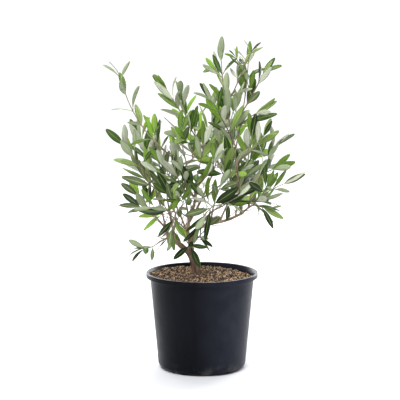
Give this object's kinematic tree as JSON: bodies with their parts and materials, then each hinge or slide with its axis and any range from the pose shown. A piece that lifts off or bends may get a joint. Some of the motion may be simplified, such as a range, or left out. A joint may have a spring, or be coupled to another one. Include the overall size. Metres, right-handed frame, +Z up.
{
  "type": "potted olive tree",
  "caption": "Young olive tree with a leaning forked trunk, rising boughs and narrow paired leaves, in a round black tapering nursery pot filled with bark soil.",
  "frame": {"origin": "middle of the pot's flat underside", "axes": "+Z up, +X to the right seen from the front, +Y to the back"},
  "size_m": [0.3305, 0.2562, 0.5654],
  "materials": {
    "pot": "satin",
    "soil": "matte",
    "bark": "matte",
    "young_bark": "matte",
    "leaves": "satin"
  },
  "bodies": {
    "root": {"pot": "pot", "soil": "soil", "trunk": "bark", "middle_bough": "young_bark", "left_bough": "young_bark", "centre_bough": "young_bark", "right_bough": "young_bark", "upright_bough": "young_bark", "right_tip_bough": "young_bark", "centre_right_bough": "young_bark", "centre_left_bough": "young_bark", "back_bough": "young_bark", "right_inner_bough": "young_bark", "right_back_bough": "young_bark", "inner_left_bough": "young_bark", "left_up_bough": "young_bark", "left_out_bough": "young_bark", "left_inner_bough": "young_bark", "low_left_bough": "young_bark", "low_right_bough": "young_bark", "fork_twig": "young_bark", "back_left_bough": "young_bark", "back_right_bough": "young_bark", "front_bough": "young_bark", "left_shoot_bough": "young_bark", "top_left_bough": "young_bark", "top_right_bough": "young_bark", "right_side_bough": "young_bark", "right_up_bough": "young_bark", "front_left_bough": "young_bark", "front_right_bough": "young_bark", "low_back_bough": "young_bark", "right_rear_bough": "young_bark", "long_left_leaves": "leaves", "centre_left_leaves": "leaves", "top_left_leaves": "leaves", "crown_leaves": "leaves", "tall_leaves": "leaves", "top_right_leaves": "leaves", "right_side_leaves": "leaves", "right_leaves": "leaves", "right_up_leaves": "leaves", "back_leaves": "leaves", "right_inner_leaves": "leaves", "right_back_leaves": "leaves", "inner_left_leaves": "leaves", "left_up_leaves": "leaves", "left_out_leaves": "leaves", "left_inner_leaves": "leaves", "low_left_leaves": "leaves", "low_right_leaves": "leaves", "fork_leaves": "leaves", "back_left_leaves": "leaves", "back_right_leaves": "leaves", "front_leaves": "leaves", "front_left_leaves": "leaves", "front_right_leaves": "leaves", "low_back_leaves": "leaves", "right_rear_leaves": "leaves"}
  },
  "joints": []
}
